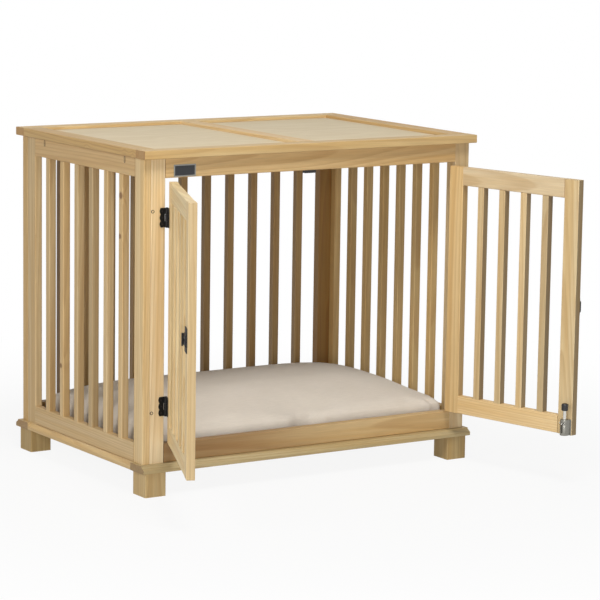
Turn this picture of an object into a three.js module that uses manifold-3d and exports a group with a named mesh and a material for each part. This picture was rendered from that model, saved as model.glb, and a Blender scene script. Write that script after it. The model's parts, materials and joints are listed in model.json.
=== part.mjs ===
// Dog crate end table: four slatted wooden frames on a moulded base, a framed top,
// two slatted doors on butterfly hinges, a slide latch, a floor bolt and a cushion.
// Millimetres, +Z up. While it is built, x = 0 is the left side, y = 0 the front face and z = 0 the
// floor; the finished group is then moved so that its origin is the centre of its footprint.
import * as THREE from "three";
import { mergeVertices } from "three/addons/utils/BufferGeometryUtils.js";
import Module from "manifold-3d";

const wasm = await Module();
wasm.setup();

// ---- driving dimensions ---------------------------------------------------------------------
const BODY_W = 748; // over the side panels
const BODY_D = 494; // over the front and back frames
const FOOT_H = 47;
const BASE_H = 15; // height of the base moulding
const BODY_TOP = 644; // underside of the table top
const TOP_T = 16; // thickness of the top's rails
const SIDE_T = 15.6; // stock of the side panels and doors
const FRAME_T = 19.5; // stock of the front and back frames
const GAP = 0.2; // left at every glue line
const EASE = 1.2; // softened long edges of every stick

const STILE_W = 34.5; // side panel stiles
const WIDE_STILE = 33.4; // front and back frame stile that laps over a side panel
const NARROW_STILE = 30.7; // the one that butts against a side panel
const RAIL_H = 36.5;
const APRON_H = 38;
const SLAT_W = 15.4;
const SLAT_T = 15.2;
const SIDE_SLATS = 6;
const SIDE_SLAT_FIRST = 89; // middle of the first slat, from the panel's front edge
const SIDE_SLAT_PITCH = 59.6;
const BACK_SLATS = 11;
const TENON_L = 8; // slat tenon let into the top rail
const TENON_T = 7;
const MORTISE_PLAY = 0.3;

const TOP_OVER_SIDE = 7;
const TOP_OVER_FRONT = 16;
const TOP_RAIL_FB = 35; // front and back rails of the top, seen from above
const TOP_RAIL_LR = 40; // left and right rails
const TOP_RAIL_MID = 35;
const PANEL_T = 5.5;
const PANEL_RECESS = 6.5; // panel face below the rails
const PANEL_TONGUE = 6; // how far the panel enters its groove

const BASE_OVER_SIDE = 7;
const BASE_OVER_FRONT = 17.5;
const BASE_INNER = 34; // inner edge of the moulding, from the body's outer face
const BASE_NOSE_H = 6; // plain band below the ogee
const OGEE_REACH = 9; // the curve's part of the overhang
const FLOOR_T = 5;
const FOOT_W = 45;
const FOOT_D = 48;
const FOOT_OVER = 12; // feet stand proud of the front and back faces

const DOOR_W = 328;
const DOOR_Z0 = 102;
const DOOR_H = 498;
const DOOR_STILE = 35;
const DOOR_TOP_RAIL = 36.5;
const DOOR_BOTTOM_RAIL = 35.5;
const DOOR_SLATS = 4;
const HINGE_GAP = 3.2; // between a post and its door
const LEFT_OPEN = 114; // degrees, as photographed
const RIGHT_OPEN = 103;

const HINGE_H = 37;
const HINGE_LEAF = 14; // leaf from the pin's axis to its scalloped edge
const HINGE_T = 1.5;
const HINGE_PIN_Y = -3.5; // pin axis in front of the doors' face
const KNUCKLE_R = 3.1;
const PIN_R = 1.2;
const KNUCKLE_BORE = 1.6;
const KNUCKLE_GAP = 0.4;
const HINGE_MIDS = [171.5, 532]; // heights of the hinge centres

const LATCH_Z = 353.5; // middle of the slide latch
const LATCH_PLATE_H = 45;
const LATCH_PLATE_T = 1.6;
const LATCH_CHANNEL_H = 24;
const LATCH_CHANNEL_OUT = 4.6; // channel's outer face, from the door
const LATCH_CASE_L = 30;
const LATCH_FROM_EDGE = 2; // case and keeper, from the free edge of their door
const LATCH_BAR_H = 13;
const LATCH_BAR_T = 2.6;
const LATCH_TRAVEL = 15;
const GRIP_BACK = 8; // grip's middle from the back of the case, with the bar drawn back
const GRIP_W = 7;
const GRIP_H = 23;
const GRIP_OUT = [5.4, 8.2]; // its two faces, from the door
const GRIP_NECK = 4.8; // square neck between bar and grip
const KEEPER_L = 12;
const KEEPER_PLATE_H = 34;

const BOLT_HOUSE_Z = 1; // housing's foot above the door's bottom edge
const BOLT_HOUSE_H = 31;
const BOLT_HOUSE_R = 10;
const BOLT_OFFSET = 9.5; // rod axis from the door's inner face
const BOLT_FROM_EDGE = 10.5; // rod axis from the door's free edge
const BOLT_ROD_R = 3.8;
const BOLT_TRAVEL = 16;
const BOLT_PIN_R = 1.7; // cross pin that runs in the housing's slot
const BOLT_PIN_DOWN = 8; // below the housing's top, with the rod drawn up
const BOLT_KNOB_R = 6.6;
const BOLT_KNOB_H = 14;
const BOLT_KNOB_CLEAR = 1.5; // knob above the housing, with the rod down
const BOLT_KNOB_SOCKET = 4.3;

const STOP_W = 24; // door stop, along the apron
const STOP_DROP = 7.5; // its lip below the apron
const STOP_RISE = 22; // its screwed plate behind the apron
const STOP_REACH = 7; // plate and lip behind the apron's back face

const CUSHION_X = [18, 730];
const CUSHION_Y = [23, 472];
const CUSHION_EDGE_Z = 112; // height of the top seam
const CUSHION_CROWN_Z = 157;
const CUSHION_PEAK = [0.44, 0.56]; // shares of the width and depth where the crown is highest
const CUSHION_FULL = [6.4, 2.2]; // how steeply it swells from the ends, and from front and back
const CUSHION_CORNER = 40;
const CUSHION_PULL = 3; // how far the sides draw in between the corners
const DENT_DEEP = 16; // where the floor bolt of the shut door has pressed the front edge in
const DENT_HALF = 50;
const DENT_LOW = 7;

// ---- worked out from them -------------------------------------------------------------------
const BODY_Z0 = FOOT_H + BASE_H;
const TOP_Z = BODY_TOP + TOP_T;
const SILL_TOP = BODY_Z0 + RAIL_H;
const OPENING_X0 = SIDE_T + NARROW_STILE;
const OPENING_X1 = BODY_W - WIDE_STILE;
const FLOOR_TOP = BODY_Z0 + FLOOR_T;

// ---- materials ------------------------------------------------------------------------------
const finish = (color, roughness, metalness = 0) =>
  new THREE.MeshStandardMaterial({ color, roughness, metalness });
const PINE = finish(0xdec396, 0.6);
const PLYWOOD = finish(0xd6caae, 0.65);
const BLACK_STEEL = finish(0x1b1a19, 0.45, 0.6);
const GREY_STEEL = finish(0x77756e, 0.45, 0.8);
const CHROME = finish(0xc9c6c0, 0.15, 1);
const BLACK_PLASTIC = finish(0x141315, 0.4);
const COTTON = finish(0xcfc5b5, 0.95);

// ---- solids ---------------------------------------------------------------------------------
function toSolid(geometry) {
  const bare = geometry.clone();
  bare.deleteAttribute("normal");
  bare.deleteAttribute("uv");
  const merged = mergeVertices(bare, 1e-4);
  return new wasm.Manifold(
    new wasm.Mesh({
      numProp: 3,
      vertProperties: merged.attributes.position.array,
      triVerts: new Uint32Array(merged.index.array),
    }),
  );
}

function toGeometry(solid) {
  const mesh = solid.getMesh();
  const geometry = new THREE.BufferGeometry();
  geometry.setAttribute("position", new THREE.BufferAttribute(mesh.vertProperties, 3));
  geometry.setIndex(new THREE.BufferAttribute(mesh.triVerts, 1));
  return geometry;
}

const join = (first, ...rest) =>
  toGeometry(rest.reduce((sum, piece) => sum.add(toSolid(piece)), toSolid(first)));
const cut = (body, ...tools) =>
  toGeometry(tools.reduce((left, tool) => left.subtract(toSolid(tool)), toSolid(body)));

function block(low, high) {
  const size = high.map((value, i) => value - low[i]);
  const middle = high.map((value, i) => (value + low[i]) / 2);
  return new THREE.BoxGeometry(...size).translate(...middle);
}

// A stick from corner low to corner high whose four long edges along the axis are planed off.
function stick(axis, low, high, ease = EASE) {
  const [u, v] = { x: [1, 2], y: [0, 2], z: [0, 1] }[axis];
  const along = { x: 0, y: 1, z: 2 }[axis];
  const [u0, u1, v0, v1] = [low[u], high[u], low[v], high[v]];
  const outline = [
    [u0 + ease, v0],
    [u1 - ease, v0],
    [u1, v0 + ease],
    [u1, v1 - ease],
    [u1 - ease, v1],
    [u0 + ease, v1],
    [u0, v1 - ease],
    [u0, v0 + ease],
  ];
  return bar(axis, outline, low[along], high[along]);
}

// A prism: an outline in the plane across the axis, given as its two other coordinates in x, y, z
// order, from one place on the axis to another.
function bar(axis, outline, from, to, holes = []) {
  const flip = axis === "y" ? -1 : 1;
  const shape = new THREE.Shape(outline.map(([u, v]) => new THREE.Vector2(flip * u, v)));
  holes.forEach((hole) => shape.holes.push(hole));
  const prism = new THREE.ExtrudeGeometry(shape, { depth: to - from, bevelEnabled: false });
  prism.translate(0, 0, from);
  if (axis === "x") prism.applyMatrix4(basis([0, 1, 0], [0, 0, 1], [1, 0, 0]));
  if (axis === "y") prism.applyMatrix4(basis([-1, 0, 0], [0, 0, 1], [0, 1, 0]));
  return prism;
}

const basis = (...columns) =>
  new THREE.Matrix4().makeBasis(...columns.map((column) => new THREE.Vector3(...column)));

function rod(radius, low, high, x, y, sides = 16) {
  const cylinder = new THREE.CylinderGeometry(radius, radius, high - low, sides);
  return cylinder.rotateX(Math.PI / 2).translate(x, y, (low + high) / 2);
}

function node(parent, name, geometry, material) {
  const mesh = new THREE.Mesh(geometry, material);
  mesh.name = name;
  parent.add(mesh);
  return mesh;
}

// ---- slatted panels -------------------------------------------------------------------------
// A row of slats standing on their bottom rail, each with a tenon on its upper end.
// place(s, t) gives x and y of a point s along the panel and t through it.
function slattedRail(place, rail, slats, thickness) {
  const middle = thickness / 2;
  const pieces = slats.flatMap((mid) => {
    const [x0, y0] = place(mid - SLAT_W / 2, middle - SLAT_T / 2);
    const [x1, y1] = place(mid + SLAT_W / 2, middle + SLAT_T / 2);
    const [p0, q0] = place(mid - SLAT_W / 2 + EASE, middle - TENON_T / 2);
    const [p1, q1] = place(mid + SLAT_W / 2 - EASE, middle + TENON_T / 2);
    return [
      stick("z", [x0, y0, rail.z1 - EASE * 2], [x1, y1, rail.top - GAP]),
      block([p0, q0, rail.top - EASE], [p1, q1, rail.top + TENON_L]),
    ];
  });
  const [x0, y0] = place(rail.s0, 0);
  const [x1, y1] = place(rail.s1, thickness);
  return join(stick(rail.axis, [x0, y0, rail.z0], [x1, y1, rail.z1]), ...pieces);
}

// The top rail over such a row, with one mortise for each tenon.
function mortisedRail(place, rail, slats, thickness) {
  const middle = thickness / 2;
  const half = SLAT_W / 2 - EASE + MORTISE_PLAY;
  const pockets = slats.map((mid) => {
    const [x0, y0] = place(mid - half, middle - TENON_T / 2 - MORTISE_PLAY);
    const [x1, y1] = place(mid + half, middle + TENON_T / 2 + MORTISE_PLAY);
    return block([x0, y0, rail.z0 - 1], [x1, y1, rail.z0 + TENON_L + MORTISE_PLAY]);
  });
  const [x0, y0] = place(rail.s0, 0);
  const [x1, y1] = place(rail.s1, thickness);
  return cut(stick(rail.axis, [x0, y0, rail.z0], [x1, y1, rail.z1]), ...pockets);
}

const evenly = (count, from, to) => {
  const pitch = (to - from + SLAT_W) / (count + 1);
  return Array.from({ length: count }, (_, i) => from - SLAT_W / 2 + pitch * (i + 1));
};

// The side panel as it stands on the left; the right one is the same panel turned half round.
function sidePanel(side) {
  const panel = new THREE.Group();
  const length = BODY_D - FRAME_T - GAP;
  const place = (s, t) => [t, s];
  const slats = Array.from({ length: SIDE_SLATS }, (_, i) => SIDE_SLAT_FIRST + i * SIDE_SLAT_PITCH);
  const [z0, z1] = [BODY_Z0, BODY_TOP - GAP];
  const [s0, s1] = [STILE_W + GAP, length - STILE_W - GAP];
  const top = z1 - RAIL_H;
  const names = side === "left" ? ["front", "rear"] : ["rear", "front"];
  node(panel, `${side}_${names[0]}_stile`, stick("z", [0, 0, z0], [SIDE_T, STILE_W, z1]), PINE);
  node(
    panel,
    `${side}_${names[1]}_stile`,
    stick("z", [0, length - STILE_W, z0], [SIDE_T, length, z1]),
    PINE,
  );
  const lower = { axis: "y", s0, s1, z0, z1: z0 + RAIL_H, top };
  const upper = { axis: "y", s0, s1, z0: top, z1 };
  node(panel, `${side}_slats_and_rail`, slattedRail(place, lower, slats, SIDE_T), PINE);
  node(panel, `${side}_top_rail`, mortisedRail(place, upper, slats, SIDE_T), PINE);
  return panel;
}

// ---- front and back frames ------------------------------------------------------------------
function frontFrame(body) {
  const [z0, z1] = [BODY_Z0, BODY_TOP - GAP];
  const left = SIDE_T + GAP;
  node(body, "front_left_stile", stick("z", [left, 0, z0], [OPENING_X0, FRAME_T, z1]), PINE);
  node(body, "front_right_stile", stick("z", [OPENING_X1, 0, z0], [BODY_W, FRAME_T, z1]), PINE);
  const [x0, x1] = [OPENING_X0 + GAP, OPENING_X1 - GAP];
  node(body, "apron", stick("x", [x0, 0, z1 - APRON_H], [x1, FRAME_T, z1]), PINE);
  node(body, "sill", stick("x", [x0, 0, z0], [x1, FRAME_T, SILL_TOP]), PINE);
}

function backFrame(body) {
  const [z0, z1] = [BODY_Z0, BODY_TOP - GAP];
  const y0 = BODY_D - FRAME_T;
  const place = (s, t) => [s, y0 + t];
  const [open0, open1] = [WIDE_STILE, BODY_W - SIDE_T - NARROW_STILE];
  const slats = evenly(BACK_SLATS, open0, open1);
  const right = BODY_W - SIDE_T - GAP;
  node(body, "back_left_stile", stick("z", [0, y0, z0], [open0, BODY_D, z1]), PINE);
  node(body, "back_right_stile", stick("z", [open1, y0, z0], [right, BODY_D, z1]), PINE);
  const [s0, s1] = [open0 + GAP, open1 - GAP];
  const top = z1 - RAIL_H;
  const lower = { axis: "x", s0, s1, z0, z1: z0 + RAIL_H, top };
  const upper = { axis: "x", s0, s1, z0: top, z1 };
  node(body, "back_slats_and_rail", slattedRail(place, lower, slats, FRAME_T), PINE);
  node(body, "back_top_rail", mortisedRail(place, upper, slats, FRAME_T), PINE);
}

// ---- table top ------------------------------------------------------------------------------
// Five rails with stopped grooves, and two thin panels whose edges lie in the grooves.
function tableTop(body) {
  const [x0, x1] = [-TOP_OVER_SIDE, BODY_W + TOP_OVER_SIDE];
  const [y0, y1] = [-TOP_OVER_FRONT, BODY_D + TOP_OVER_FRONT];
  const [inY0, inY1] = [y0 + TOP_RAIL_FB, y1 - TOP_RAIL_FB];
  const mid = BODY_W / 2;
  const panels = [
    ["top_left_panel", x0 + TOP_RAIL_LR, mid - TOP_RAIL_MID / 2],
    ["top_right_panel", mid + TOP_RAIL_MID / 2, x1 - TOP_RAIL_LR],
  ];
  const panelTop = TOP_Z - PANEL_RECESS;
  const panelBox = ([, left, right], play) => [
    [left - PANEL_TONGUE - play, inY0 - PANEL_TONGUE - play, panelTop - PANEL_T - play],
    [right + PANEL_TONGUE + play, inY1 + PANEL_TONGUE + play, panelTop + play],
  ];
  const grooves = panels.map((panel) => block(...panelBox(panel, MORTISE_PLAY)));
  const rail = (name, axis, low, high) => {
    const board = stick(axis, [...low, BODY_TOP], [...high, TOP_Z]);
    node(body, name, cut(board, ...grooves), PINE);
  };
  rail("top_front_rail", "x", [x0, y0], [x1, inY0]);
  rail("top_back_rail", "x", [x0, inY1], [x1, y1]);
  const [a, b] = [inY0 + GAP, inY1 - GAP];
  rail("top_left_rail", "y", [x0, a], [x0 + TOP_RAIL_LR, b]);
  rail("top_right_rail", "y", [x1 - TOP_RAIL_LR, a], [x1, b]);
  rail("top_centre_rail", "y", [mid - TOP_RAIL_MID / 2, a], [mid + TOP_RAIL_MID / 2, b]);
  panels.forEach((panel) => node(body, panel[0], block(...panelBox(panel, 0)), PLYWOOD));
}

// ---- base -----------------------------------------------------------------------------------
// Half of the moulding's outline: out is how far it stands proud, both in the way out and up.
function ogee(inner, out) {
  const [z0, z1] = [FOOT_H, BODY_Z0 - GAP];
  const reach = Math.min(OGEE_REACH, out);
  const lip = 1; // softened lower edge, and the fillet above the curve
  const rise = z1 - lip - (z0 + BASE_NOSE_H);
  const steps = 8;
  const curve = Array.from({ length: steps + 1 }, (_, i) => {
    const t = i / steps;
    const sway = (1 - Math.cos(Math.PI * t)) / 2; // slow, quick, slow: the S of the ogee
    return [out - reach * sway, z0 + BASE_NOSE_H + rise * t];
  });
  return [[-inner, z0], [out - lip, z0], [out, z0 + lip], ...curve, [out - reach, z1], [-inner, z1]];
}

function base(body) {
  const [x0, x1] = [-BASE_OVER_SIDE, BODY_W + BASE_OVER_SIDE];
  const ends = ogee(BASE_INNER, BASE_OVER_FRONT);
  const sides = ogee(BASE_INNER, BASE_OVER_SIDE);
  const front = ends.map(([out, z]) => [-out, z]).reverse();
  const back = ends.map(([out, z]) => [BODY_D + out, z]);
  const left = sides.map(([out, z]) => [-out, z]).reverse();
  const right = sides.map(([out, z]) => [BODY_W + out, z]);
  const [y0, y1] = [BASE_INNER + GAP, BODY_D - BASE_INNER - GAP];
  node(body, "base_front_moulding", bar("x", front, x0, x1), PINE);
  node(body, "base_back_moulding", bar("x", back, x0, x1), PINE);
  node(body, "base_left_moulding", bar("y", left, y0, y1), PINE);
  node(body, "base_right_moulding", bar("y", right, y0, y1), PINE);
  const play = 0.5;
  const low = [SIDE_T + play, FRAME_T + play, BODY_Z0];
  const high = [BODY_W - SIDE_T - play, BODY_D - FRAME_T - play, FLOOR_TOP];
  node(body, "floor_board", block(low, high), PLYWOOD);
}

function feet(body) {
  const xs = { left: [0, FOOT_W], right: [BODY_W - FOOT_W, BODY_W] };
  const back = BODY_D + FOOT_OVER;
  const ys = { front: [-FOOT_OVER, FOOT_D - FOOT_OVER], rear: [back - FOOT_D, back] };
  for (const [depth, [y0, y1]] of Object.entries(ys))
    for (const [side, [x0, x1]] of Object.entries(xs))
      node(body, `${depth}_${side}_foot`, stick("z", [x0, y0, 0], [x1, y1, FOOT_H - GAP]), PINE);
}

// ---- doors ----------------------------------------------------------------------------------
// A door is built shut, with the hinge pin's axis as its origin and the door running along +x
// from it; the right door is the left one mirrored.
const DOOR_S0 = HINGE_GAP / 2; // hinge edge
const DOOR_S1 = DOOR_S0 + DOOR_W; // free edge
const DOOR_OUT = -HINGE_PIN_Y; // outer face
const DOOR_IN = DOOR_OUT + SIDE_T; // inner face

function doorFrame(door, side) {
  const place = (s, t) => [s, DOOR_OUT + t];
  const [z0, z1] = [DOOR_Z0, DOOR_Z0 + DOOR_H];
  const stile = (name, s) =>
    node(
      door,
      `${side}_door_${name}`,
      stick("z", [s, DOOR_OUT, z0], [s + DOOR_STILE, DOOR_IN, z1]),
      PINE,
    );
  stile("hinge_stile", DOOR_S0);
  stile("lock_stile", DOOR_S1 - DOOR_STILE);
  const [open0, open1] = [DOOR_S0 + DOOR_STILE, DOOR_S1 - DOOR_STILE];
  const slats = evenly(DOOR_SLATS, open0, open1);
  const [s0, s1] = [open0 + GAP, open1 - GAP];
  const top = z1 - DOOR_TOP_RAIL;
  const lower = { axis: "x", s0, s1, z0, z1: z0 + DOOR_BOTTOM_RAIL, top };
  const upper = { axis: "x", s0, s1, z0: top, z1 };
  node(door, `${side}_door_slats_and_rail`, slattedRail(place, lower, slats, SIDE_T), PINE);
  node(door, `${side}_door_top_rail`, mortisedRail(place, upper, slats, SIDE_T), PINE);
}

// One leaf of a butterfly hinge, running to +x from the pin: three round lobes on its free edge.
function leafOutline() {
  const lobes = 3;
  const lobe = HINGE_H / lobes;
  const dip = 2.2;
  const steps = 5;
  const edge = [];
  for (let k = 0; k < lobes; k += 1)
    for (let i = 0; i < steps; i += 1) {
      const t = i / steps;
      const out = HINGE_LEAF - dip + dip * Math.sin(Math.PI * t);
      edge.push([out, lobe * (k + t) - HINGE_H / 2]);
    }
  edge.push([HINGE_LEAF - dip, HINGE_H / 2]);
  return [[0, -HINGE_H / 2], ...edge, [0, HINGE_H / 2]];
}

// spans are the stretches of the pin that this leaf's knuckles wrap, as shares of the height.
function hingeLeaf(mid, spans) {
  const back = DOOR_OUT - GAP; // the leaf's face against the wood
  const flat = bar("y", leafOutline(), back - HINGE_T, back);
  const third = HINGE_H / 3;
  const z = (k) => -HINGE_H / 2 + third * k;
  const knuckles = spans.map(([a, b]) => rod(KNUCKLE_R, z(a), z(b), 0, 0));
  const others = [0, 1, 2].filter((k) => !spans.some(([a, b]) => k >= a && k < b));
  const clear = KNUCKLE_R + 0.5;
  const rooms = others.map((k) =>
    block([-clear, -clear, z(k) - KNUCKLE_GAP], [clear, DOOR_OUT, z(k + 1) + KNUCKLE_GAP]),
  );
  const bore = rod(KNUCKLE_BORE, -HINGE_H, HINGE_H, 0, 0, 12);
  const leaf = cut(join(flat, ...knuckles), ...rooms, bore);
  return leaf.translate(0, 0, mid);
}

function hingePin(mid) {
  const half = HINGE_H / 2;
  const [headH, headR, crown] = [0.9, 2.2, 0.2];
  const profile = [
    [0, -half - headH],
    [headR, -half - headH + crown],
    [headR, -half - GAP],
    [PIN_R, -half - GAP],
    [PIN_R, half + GAP],
    [headR, half + GAP],
    [headR, half + headH - crown],
    [0, half + headH],
  ];
  const points = profile.map(([r, z]) => new THREE.Vector2(r, z));
  return new THREE.LatheGeometry(points, 12).rotateX(Math.PI / 2).translate(0, 0, mid);
}

// ---- slide latch ----------------------------------------------------------------------------
// A pressed channel, open at both ends and towards the door, that guides a flat bar.
function latchChannel(s0, s1, plateH) {
  const face = DOOR_OUT - GAP;
  const half = LATCH_CHANNEL_H / 2;
  const slope = 2.5; // the channel's sides lean in by this
  const room = LATCH_BAR_H / 2 + MORTISE_PLAY;
  const deep = LATCH_BAR_T + 2 * MORTISE_PLAY;
  const side = [
    [face - deep, room],
    [face, room],
    [face, plateH / 2],
    [face - LATCH_PLATE_T, plateH / 2],
    [face - LATCH_PLATE_T, half],
    [face - LATCH_CHANNEL_OUT, half - slope],
  ];
  const under = side.map(([t, z]) => [t, -z]).reverse();
  const outline = [...side, ...under].map(([t, z]) => [t, z + LATCH_Z]);
  return bar("x", outline, s0, s1);
}

function slideLatch(door) {
  const end = DOOR_S1 - LATCH_FROM_EDGE;
  const start = end - LATCH_CASE_L;
  const grip = start + GRIP_BACK;
  const neck = GRIP_NECK / 2;
  const play = 0.5;
  const [gripNear, gripFar] = GRIP_OUT;
  const far = grip + LATCH_TRAVEL + neck + play;
  const window = block(
    [grip - neck - play, DOOR_OUT - gripFar, LATCH_Z - neck - play],
    [far, DOOR_OUT - LATCH_PLATE_T, LATCH_Z + neck + play],
  );
  const casing = cut(latchChannel(start, end, LATCH_PLATE_H), window);
  node(door, "latch_case", casing, BLACK_STEEL);

  const face = DOOR_OUT - GAP - MORTISE_PLAY;
  const half = LATCH_BAR_H / 2;
  const inside = 2; // the bar's back end, inside the case
  const strip = block(
    [start + inside, face - LATCH_BAR_T, LATCH_Z - half],
    [end + 1, face, LATCH_Z + half],
  );
  const stem = block(
    [grip - neck, DOOR_OUT - (gripNear + gripFar) / 2, LATCH_Z - neck],
    [grip + neck, face - LATCH_BAR_T / 2, LATCH_Z + neck],
  );
  const thumb = stick(
    "z",
    [grip - GRIP_W / 2, DOOR_OUT - gripFar, LATCH_Z - GRIP_H / 2],
    [grip + GRIP_W / 2, DOOR_OUT - gripNear, LATCH_Z + GRIP_H / 2],
  );
  node(door, "latch_bolt", join(strip, stem, thumb), BLACK_STEEL);
}

// ---- floor bolt -----------------------------------------------------------------------------
// A round-nosed housing on the door's inner face, with a rod that drops behind the sill.
function floorBolt(door) {
  const s = DOOR_S1 - BOLT_FROM_EDGE;
  const t = DOOR_IN + BOLT_OFFSET;
  const z0 = DOOR_Z0 + BOLT_HOUSE_Z;
  const z1 = z0 + BOLT_HOUSE_H;
  const play = 0.4;
  const bore = new THREE.Path();
  bore.absarc(s, t, BOLT_ROD_R + play, 0, Math.PI * 2, true);
  const steps = 16;
  const arc = Array.from({ length: steps + 1 }, (_, i) => {
    const turn = (Math.PI * i) / steps;
    return [s + BOLT_HOUSE_R * Math.cos(turn), t + BOLT_HOUSE_R * Math.sin(turn)];
  });
  const foot = DOOR_IN + GAP;
  const outline = [[s - BOLT_HOUSE_R, foot], [s + BOLT_HOUSE_R, foot], ...arc];
  const pinZ = z1 - BOLT_PIN_DOWN;
  const room = BOLT_PIN_R + play;
  const pinEnd = BOLT_HOUSE_R + 1.5; // the pin stands just proud of the housing
  const slot = block([s - pinEnd, t - room, pinZ - BOLT_TRAVEL - room], [s, t + room, pinZ + room]);
  const housing = cut(bar("z", outline, z0, z1, [bore]), slot);
  node(door, "floor_bolt_housing", housing, GREY_STEEL);

  const knobZ = z1 + BOLT_TRAVEL + BOLT_KNOB_CLEAR;
  const stalk = rod(BOLT_ROD_R, z0 + 1, knobZ + BOLT_KNOB_SOCKET - GAP, s, t);
  const cross = rod(BOLT_PIN_R, 0, pinEnd, 0, 0, 8).rotateY(-Math.PI / 2).translate(s, t, pinZ);
  node(door, "floor_bolt_rod", join(stalk, cross), CHROME);
  const knob = new THREE.LatheGeometry(knobProfile(), 20).rotateX(Math.PI / 2);
  node(door, "floor_bolt_knob", knob.translate(s, t, knobZ), BLACK_PLASTIC);
}

// A cap with rounded shoulders and a blind socket for the rod.
function knobProfile() {
  const socketR = BOLT_ROD_R + GAP;
  const socketZ = BOLT_KNOB_SOCKET;
  const round = 3.2;
  const shoulder = Array.from({ length: 5 }, (_, i) => {
    const turn = (Math.PI / 2) * (i / 4);
    const r = BOLT_KNOB_R - round + round * Math.cos(turn);
    return [r, BOLT_KNOB_H - round + round * Math.sin(turn)];
  });
  const profile = [
    [0, socketZ],
    [socketR, socketZ],
    [socketR, 0],
    [BOLT_KNOB_R - 1, 0],
    [BOLT_KNOB_R, 1],
    ...shoulder,
    [0, BOLT_KNOB_H],
  ];
  return profile.map(([r, z]) => new THREE.Vector2(r, z));
}

// ---- hanging the doors ----------------------------------------------------------------------
function hangDoor(body, side) {
  const left = side === "left";
  const pinX = left ? OPENING_X0 + HINGE_GAP / 2 : OPENING_X1 - HINGE_GAP / 2;
  const hand = new THREE.Group();
  hand.position.set(pinX, HINGE_PIN_Y, 0);
  hand.scale.x = left ? 1 : -1;
  body.add(hand);
  const door = new THREE.Group();
  door.rotation.z = THREE.MathUtils.degToRad(left ? -LEFT_OPEN : -RIGHT_OPEN);
  hand.add(door);

  doorFrame(door, side);
  ["lower", "upper"].forEach((level, i) => {
    const mid = HINGE_MIDS[i];
    const post = hingeLeaf(mid, [
      [0, 1],
      [2, 3],
    ]);
    const fixed = node(hand, `${side}_${level}_hinge_post_leaf`, post, BLACK_STEEL);
    fixed.scale.x = -1;
    node(door, `${side}_${level}_hinge_door_leaf`, hingeLeaf(mid, [[1, 2]]), BLACK_STEEL);
    node(hand, `${side}_${level}_hinge_pin`, hingePin(mid), BLACK_STEEL);
  });
  if (left) {
    slideLatch(door);
  } else {
    const end = DOOR_S1 - LATCH_FROM_EDGE;
    const keeper = latchChannel(end - KEEPER_L, end, KEEPER_PLATE_H);
    node(door, "latch_keeper", keeper, BLACK_STEEL);
    floorBolt(door);
  }
}

// A stop behind the meeting edges of the doors, screwed to the back of the apron.
function doorStop(body) {
  const middle = (OPENING_X0 + OPENING_X1) / 2;
  const play = 0.3;
  const [front, plate, back] = [SIDE_T + 1, FRAME_T + play, FRAME_T + STOP_REACH];
  const under = BODY_TOP - GAP - APRON_H - play;
  const outline = [
    [front, under - STOP_DROP],
    [back, under - STOP_DROP],
    [back, under + STOP_RISE],
    [plate, under + STOP_RISE],
    [plate, under],
    [front, under],
  ];
  const stop = bar("x", outline, middle - STOP_W / 2, middle + STOP_W / 2);
  node(body, "door_stop", stop, BLACK_PLASTIC);
}

// ---- cushion --------------------------------------------------------------------------------
const CUSHION_MID = [CUSHION_X, CUSHION_Y].map(([low, high]) => (low + high) / 2);
const CUSHION_HALF = [CUSHION_X, CUSHION_Y].map(([low, high]) => (high - low) / 2);

// Rings from the middle of the underside, round the full edge, to the middle of the crown.
function cushion(body) {
  const bottom = FLOOR_TOP + 0.3;
  const side = [
    [60, 0],
    [18, 0],
    [6, 0.16],
    [0, 0.45],
    [0, 0.7],
    [2, 0.9],
    [6, 1],
  ]; // inset of each ring, and its share of the height of the side
  const insets = [12, 24, 42, 66, 96, 132, 176];
  const around = 80;
  const rim = roundedOblong(around);
  const positions = [...CUSHION_MID, bottom];
  for (const [inset, share] of side)
    for (const point of rim) {
      const [x, y] = drawnIn(point, inset);
      positions.push(x, y, bottom + (CUSHION_EDGE_Z - bottom) * share);
    }
  for (const inset of insets)
    for (const point of rim) {
      const [x, y] = drawnIn(point, inset);
      positions.push(x, y, crownHeight(x, y));
    }
  positions.push(...CUSHION_MID, crownHeight(...CUSHION_MID));
  const rings = side.length + insets.length;
  const last = positions.length / 3 - 1;
  const at = (ring, i) => 1 + ring * around + (i % around);
  const index = [];
  for (let i = 0; i < around; i += 1) {
    index.push(0, at(0, i + 1), at(0, i));
    index.push(last, at(rings - 1, i), at(rings - 1, i + 1));
    for (let ring = 0; ring < rings - 1; ring += 1) {
      const [a, b, c, d] = [at(ring, i), at(ring, i + 1), at(ring + 1, i + 1), at(ring + 1, i)];
      index.push(a, b, c, a, c, d);
    }
  }
  const geometry = new THREE.BufferGeometry();
  geometry.setAttribute("position", new THREE.Float32BufferAttribute(positions, 3));
  geometry.setIndex(index);
  node(body, "cushion", geometry, COTTON);
}

// Even steps round the cushion's outline, from -1 to 1 each way.
function roundedOblong(steps) {
  const [halfX, halfY] = CUSHION_HALF;
  const r = CUSHION_CORNER;
  const outline = new THREE.Path();
  const quarter = Math.PI / 2;
  outline.absarc(halfX - r, r - halfY, r, -quarter, 0);
  outline.absarc(halfX - r, halfY - r, r, 0, quarter);
  outline.absarc(r - halfX, halfY - r, r, quarter, 2 * quarter);
  outline.absarc(r - halfX, r - halfY, r, 2 * quarter, 3 * quarter);
  outline.closePath();
  return outline.getSpacedPoints(steps).slice(0, steps).map(({ x, y }) => [x / halfX, y / halfY]);
}

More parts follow.
